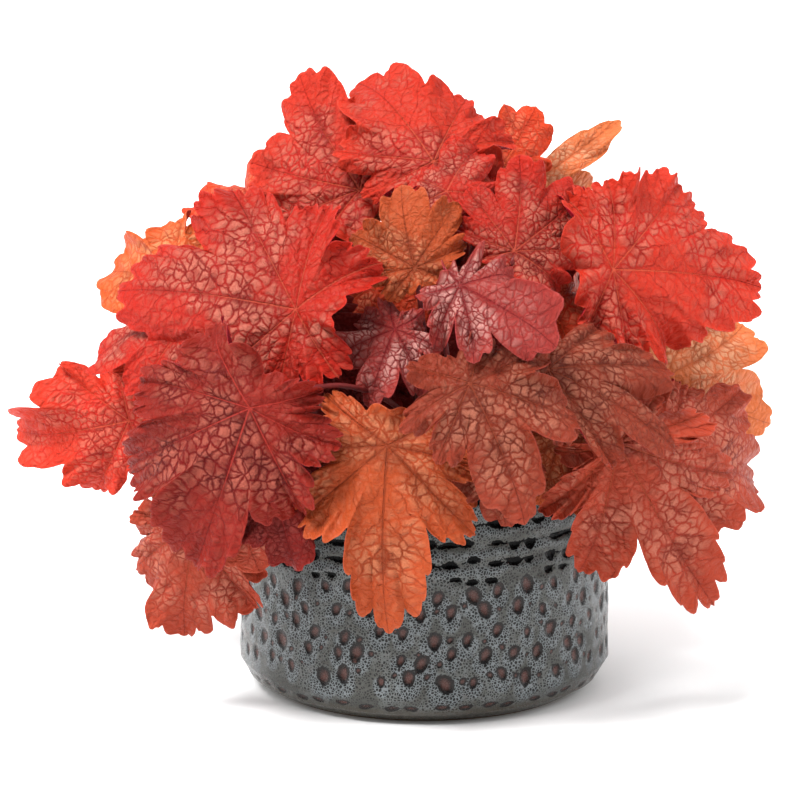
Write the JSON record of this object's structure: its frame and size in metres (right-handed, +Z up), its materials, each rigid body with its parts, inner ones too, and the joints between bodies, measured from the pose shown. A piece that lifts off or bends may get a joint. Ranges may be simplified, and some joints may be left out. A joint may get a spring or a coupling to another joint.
{
  "type": "heuchera plant",
  "caption": "Heuchera (coral bells) with a mound of lobed, ruffled red and orange leaves on slender stalks, growing in a round glazed stoneware pot filled with soil.",
  "frame": {"origin": "centre of the pot's flat foot, on the surface it stands on", "axes": "+Z up out of the pot; -Y towards the front of the plant; +X to the right as seen from the front"},
  "size_m": [0.3692, 0.3162, 0.2964],
  "materials": {
    "pot_glaze": "gloss",
    "soil": "matte",
    "crown": "matte",
    "leaf_red": "satin",
    "leaf_orange": "satin",
    "leaf_rose": "satin",
    "leaf_russet": "satin",
    "leaf_crimson": "satin"
  },
  "bodies": {
    "root": {"pot": "pot_glaze", "soil": "soil", "crown": "crown", "leaf_01": "leaf_orange", "leaf_02": "leaf_orange", "leaf_03": "leaf_orange", "leaf_04": "leaf_orange", "leaf_05": "leaf_red", "leaf_06": "leaf_orange", "leaf_07": "leaf_red", "leaf_08": "leaf_rose", "leaf_09": "leaf_rose", "leaf_10": "leaf_crimson", "leaf_11": "leaf_orange", "leaf_12": "leaf_russet", "leaf_13": "leaf_crimson", "leaf_14": "leaf_red", "leaf_15": "leaf_russet", "leaf_16": "leaf_rose", "leaf_17": "leaf_russet", "leaf_18": "leaf_crimson", "leaf_19": "leaf_crimson", "leaf_20": "leaf_orange", "leaf_21": "leaf_rose", "leaf_22": "leaf_orange", "leaf_23": "leaf_russet", "leaf_24": "leaf_red", "leaf_25": "leaf_red", "leaf_26": "leaf_russet", "leaf_27": "leaf_russet", "leaf_28": "leaf_red", "leaf_29": "leaf_orange", "leaf_30": "leaf_orange", "leaf_31": "leaf_russet", "leaf_32": "leaf_orange", "leaf_33": "leaf_crimson", "leaf_34": "leaf_red", "leaf_35": "leaf_red", "leaf_36": "leaf_rose", "leaf_37": "leaf_orange", "leaf_38": "leaf_red", "leaf_39": "leaf_rose", "leaf_40": "leaf_russet", "leaf_41": "leaf_red", "leaf_42": "leaf_orange", "leaf_43": "leaf_orange", "leaf_44": "leaf_russet", "leaf_45": "leaf_rose", "leaf_46": "leaf_orange", "leaf_47": "leaf_red", "leaf_48": "leaf_crimson", "leaf_49": "leaf_red", "leaf_50": "leaf_rose", "leaf_51": "leaf_orange", "leaf_52": "leaf_russet", "leaf_53": "leaf_rose", "leaf_54": "leaf_red"}
  },
  "joints": []
}
